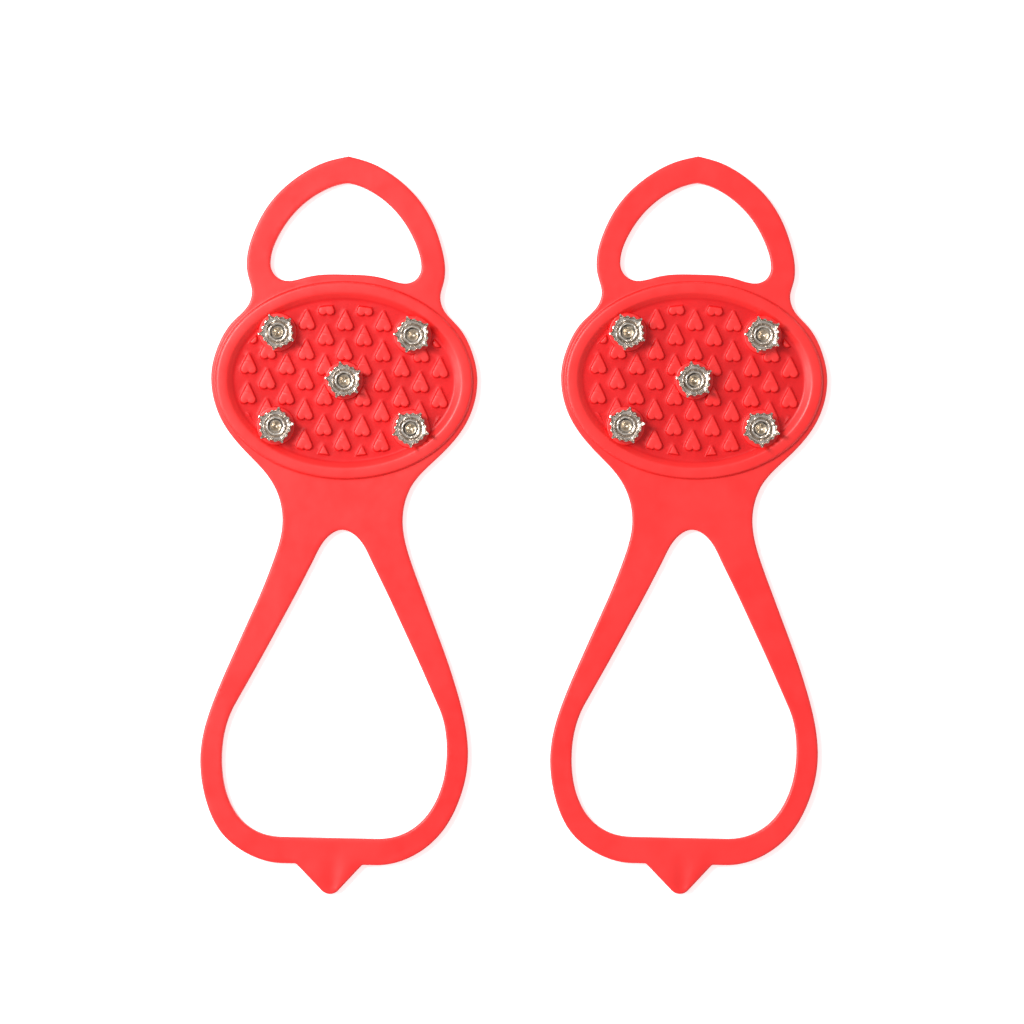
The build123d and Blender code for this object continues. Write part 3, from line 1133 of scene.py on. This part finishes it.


# Radius, height, and the paint on the metal: 0 bright, 0.5 tinted, 1 near-black painted shade
RIVET_PROFILE = (
    (3.20, 0.10, 0.0),
    (3.75, 0.14, 0.0),
    (4.08, 0.28, 0.0),
    (4.20, 0.50, 0.0),
    (4.15, 0.78, 0.0),
    (4.00, 0.90, 0.0),
    (1.90, 0.90, 0.0),
    (1.90, 4.22, 0.0),
    (2.96, 4.22, 0.0),
    (3.14, 4.32, 0.0),
    (3.23, 4.54, 0.0),
    (3.22, 4.82, 0.0),
    (3.14, 5.06, 0.0),
    (3.02, 5.22, 0.0),
    (2.87, 5.30, 0.0),
    (2.72, 5.27, 0.0),
    (2.61, 5.15, 0.0),
    (2.52, 4.96, 0.0),
    (2.45, 4.72, 0.5),
    (2.41, 4.50, 1.0),
    (2.35, 4.32, 1.0),
    (2.26, 4.27, 1.0),
    (2.08, 4.27, 1.0),
    (1.98, 4.24, 1.0),
    (1.90, 4.12, 0.6),
    (1.84, 3.98, 0.5),
    (1.66, 3.90, 0.5),
    (1.20, 3.60, 0.5),
    (0.80, 3.32, 0.5),
    (0.48, 3.14, 0.5),
    (0.22, 3.05, 0.5),
)
HEAD_Z = 0.08
DIMPLE_Z = 3.03
RIVET_COLUMNS = 72
# The rolled lip is a little uneven: how many waves, how strong, and where they fade in
LIP_WAVES = 7
LIP_WAVINESS = 0.022
LIP_WAVES_Z = (4.4, 4.9)


def rivet_mesh():
    """A semi-tubular rivet: flat head, shank, rolled lip and blind dimple."""
    sections = []
    for i in range(RIVET_COLUMNS):
        angle = 2 * math.pi * i / RIVET_COLUMNS
        section = []
        for radius, height, _ in RIVET_PROFILE:
            rolled = smooth(np.array(height), *LIP_WAVES_Z)
            wobble = 1 + LIP_WAVINESS * float(rolled) * math.cos(LIP_WAVES * angle)
            section.append(around(radius * wobble, height, angle))
        sections.append(section)
    length = len(RIVET_PROFILE)
    points = [point for section in sections for point in section]
    faces = []
    for i in range(RIVET_COLUMNS):
        here, after = i * length, ((i + 1) % RIVET_COLUMNS) * length
        for j in range(length - 1):
            faces.append((here + j, after + j, after + j + 1, here + j + 1))
    low, high = len(points), len(points) + 1
    points += [(0, 0, HEAD_Z), (0, 0, DIMPLE_Z)]
    for i in range(RIVET_COLUMNS):
        here, after = i * length, ((i + 1) % RIVET_COLUMNS) * length
        faces.append((low, after, here))
        faces.append((high, here + length - 1, after + length - 1))
    mesh = bpy.data.meshes.new("stud_rivet")
    mesh.from_pydata([tuple(c * MM for c in point) for point in points], [], faces)
    mesh.update()
    # Per point: bright metal, its tint, and the painted shade of the groove
    tint_and_shade = [row[2] for row in RIVET_PROFILE] * RIVET_COLUMNS + [0.0, 0.5]
    mesh.attributes.new(TINT_AND_SHADE, "FLOAT", "POINT").data.foreach_set("value", tint_and_shade)
    shade(mesh, RIVET_CREASE_DEG)
    return mesh


def add_studs():
    """Crowns and rivets at their places in the frame; washers stay as the frame has them."""
    crown, rivet = crown_mesh(), rivet_mesh()
    for cleat in CLEATS:
        middle = pad_centre(cleat)
        for number, (place, turn) in enumerate(zip(STUD_PLACES, STUD_TURNS), 1):
            spot = middle + np.array([*place, 0]) * MM
            turned_crown = crown.copy()
            turned_crown.transform(Matrix.Rotation(math.radians(turn), 4, "Z"))
            spike = put(turned_crown, f"{cleat}_crown_{number}", spot, SPIKE_STEEL)
            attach(spike, f"{cleat}_sole")
            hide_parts(f"{cleat}_spike_crown_{number}")
            pin = put(rivet, f"{cleat}_rivet_{number}", spot, RIVET_STEEL)
            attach(pin, f"{cleat}_sole")
            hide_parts(f"{cleat}_stud_rivet_{number}")
            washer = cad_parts[f"{cleat}_backing_washer_{number}"]
            washer.data.materials.clear()
            washer.data.materials.append(WASHER_STEEL)


add_rubber()
add_studs()


# ---------------------------------------------------------------- stage and light
FLOOR_SIZE = 12
FLOOR_GAP = 0.00005
FLOOR_GLOW = 0.55


def add_floor():
    """A plain near-white floor."""
    nodes = Nodes("floor")
    colour = nodes.ramp(nodes.noise(3, 2), [(0.3, (0.90, 0.90, 0.90)), (0.7, (0.92, 0.92, 0.92))])
    nodes.join(colour, nodes.shader.inputs["Base Color"])
    nodes.set(Roughness=0.9, Specular_IOR_Level=0.1)
    nodes.set(Emission_Color=(1, 1, 1, 1), Emission_Strength=FLOOR_GLOW)
    bpy.ops.mesh.primitive_plane_add(size=FLOOR_SIZE, location=(0, 0, -FLOOR_GAP))
    floor = bpy.context.object
    floor.name = "floor"
    floor.data.materials.append(nodes.material)


# Name, place, size and power of each soft light
LIGHTS = (
    ("key", (-0.85, 0.45, 1.15), 0.50, 19),
    ("side", (-1.35, -0.15, 0.60), 0.50, 7),
)


def add_light(name, place, size, power):
    """A square soft light that faces the middle of the pair."""
    data = bpy.data.lights.new(name, "AREA")
    data.size = size
    data.energy = power
    lamp = bpy.data.objects.new(name, data)
    lamp.location = place
    lamp.rotation_euler = (-Vector(place)).to_track_quat("-Z", "Y").to_euler()
    bpy.context.scene.collection.objects.link(lamp)


# Light of the room from the horizon (0) to straight up (1)
ROOM_LIGHT = ((0.05, 0.12), (0.38, 0.50), (0.80, 0.60), (0.97, 0.34))


def add_world():
    """A bright even room, darker near the horizon, so that metal has something to reflect."""
    world = bpy.data.worlds.new("room")
    world.use_nodes = True
    tree = world.node_tree
    tree.nodes.clear()
    output = tree.nodes.new("ShaderNodeOutputWorld")
    coordinates = tree.nodes.new("ShaderNodeTexCoord")
    split = tree.nodes.new("ShaderNodeSeparateXYZ")
    ramp = tree.nodes.new("ShaderNodeValToRGB")
    room = tree.nodes.new("ShaderNodeBackground")
    plain = tree.nodes.new("ShaderNodeBackground")
    path = tree.nodes.new("ShaderNodeLightPath")
    mix = tree.nodes.new("ShaderNodeMixShader")
    stops = ramp.color_ramp.elements
    for _ in range(len(ROOM_LIGHT) - 2):
        stops.new(0.5)
    for stop, (height, level) in zip(stops, ROOM_LIGHT):
        stop.position, stop.color = height, (level, level, level, 1)
    room.inputs["Strength"].default_value = 1.0
    plain.inputs["Color"].default_value = (1, 1, 1, 1)
    plain.inputs["Strength"].default_value = 1.0
    tree.links.new(coordinates.outputs["Generated"], split.inputs["Vector"])
    tree.links.new(split.outputs["Z"], ramp.inputs["Fac"])
    tree.links.new(ramp.outputs["Color"], room.inputs["Color"])
    tree.links.new(path.outputs["Is Camera Ray"], mix.inputs["Fac"])
    tree.links.new(room.outputs["Background"], mix.inputs[1])
    tree.links.new(plain.outputs["Background"], mix.inputs[2])
    tree.links.new(mix.outputs["Shader"], output.inputs["Surface"])
    bpy.context.scene.world = world


add_floor()
add_world()
for light in LIGHTS:
    add_light(*light)
bpy.context.scene.view_settings.view_transform = "Standard"
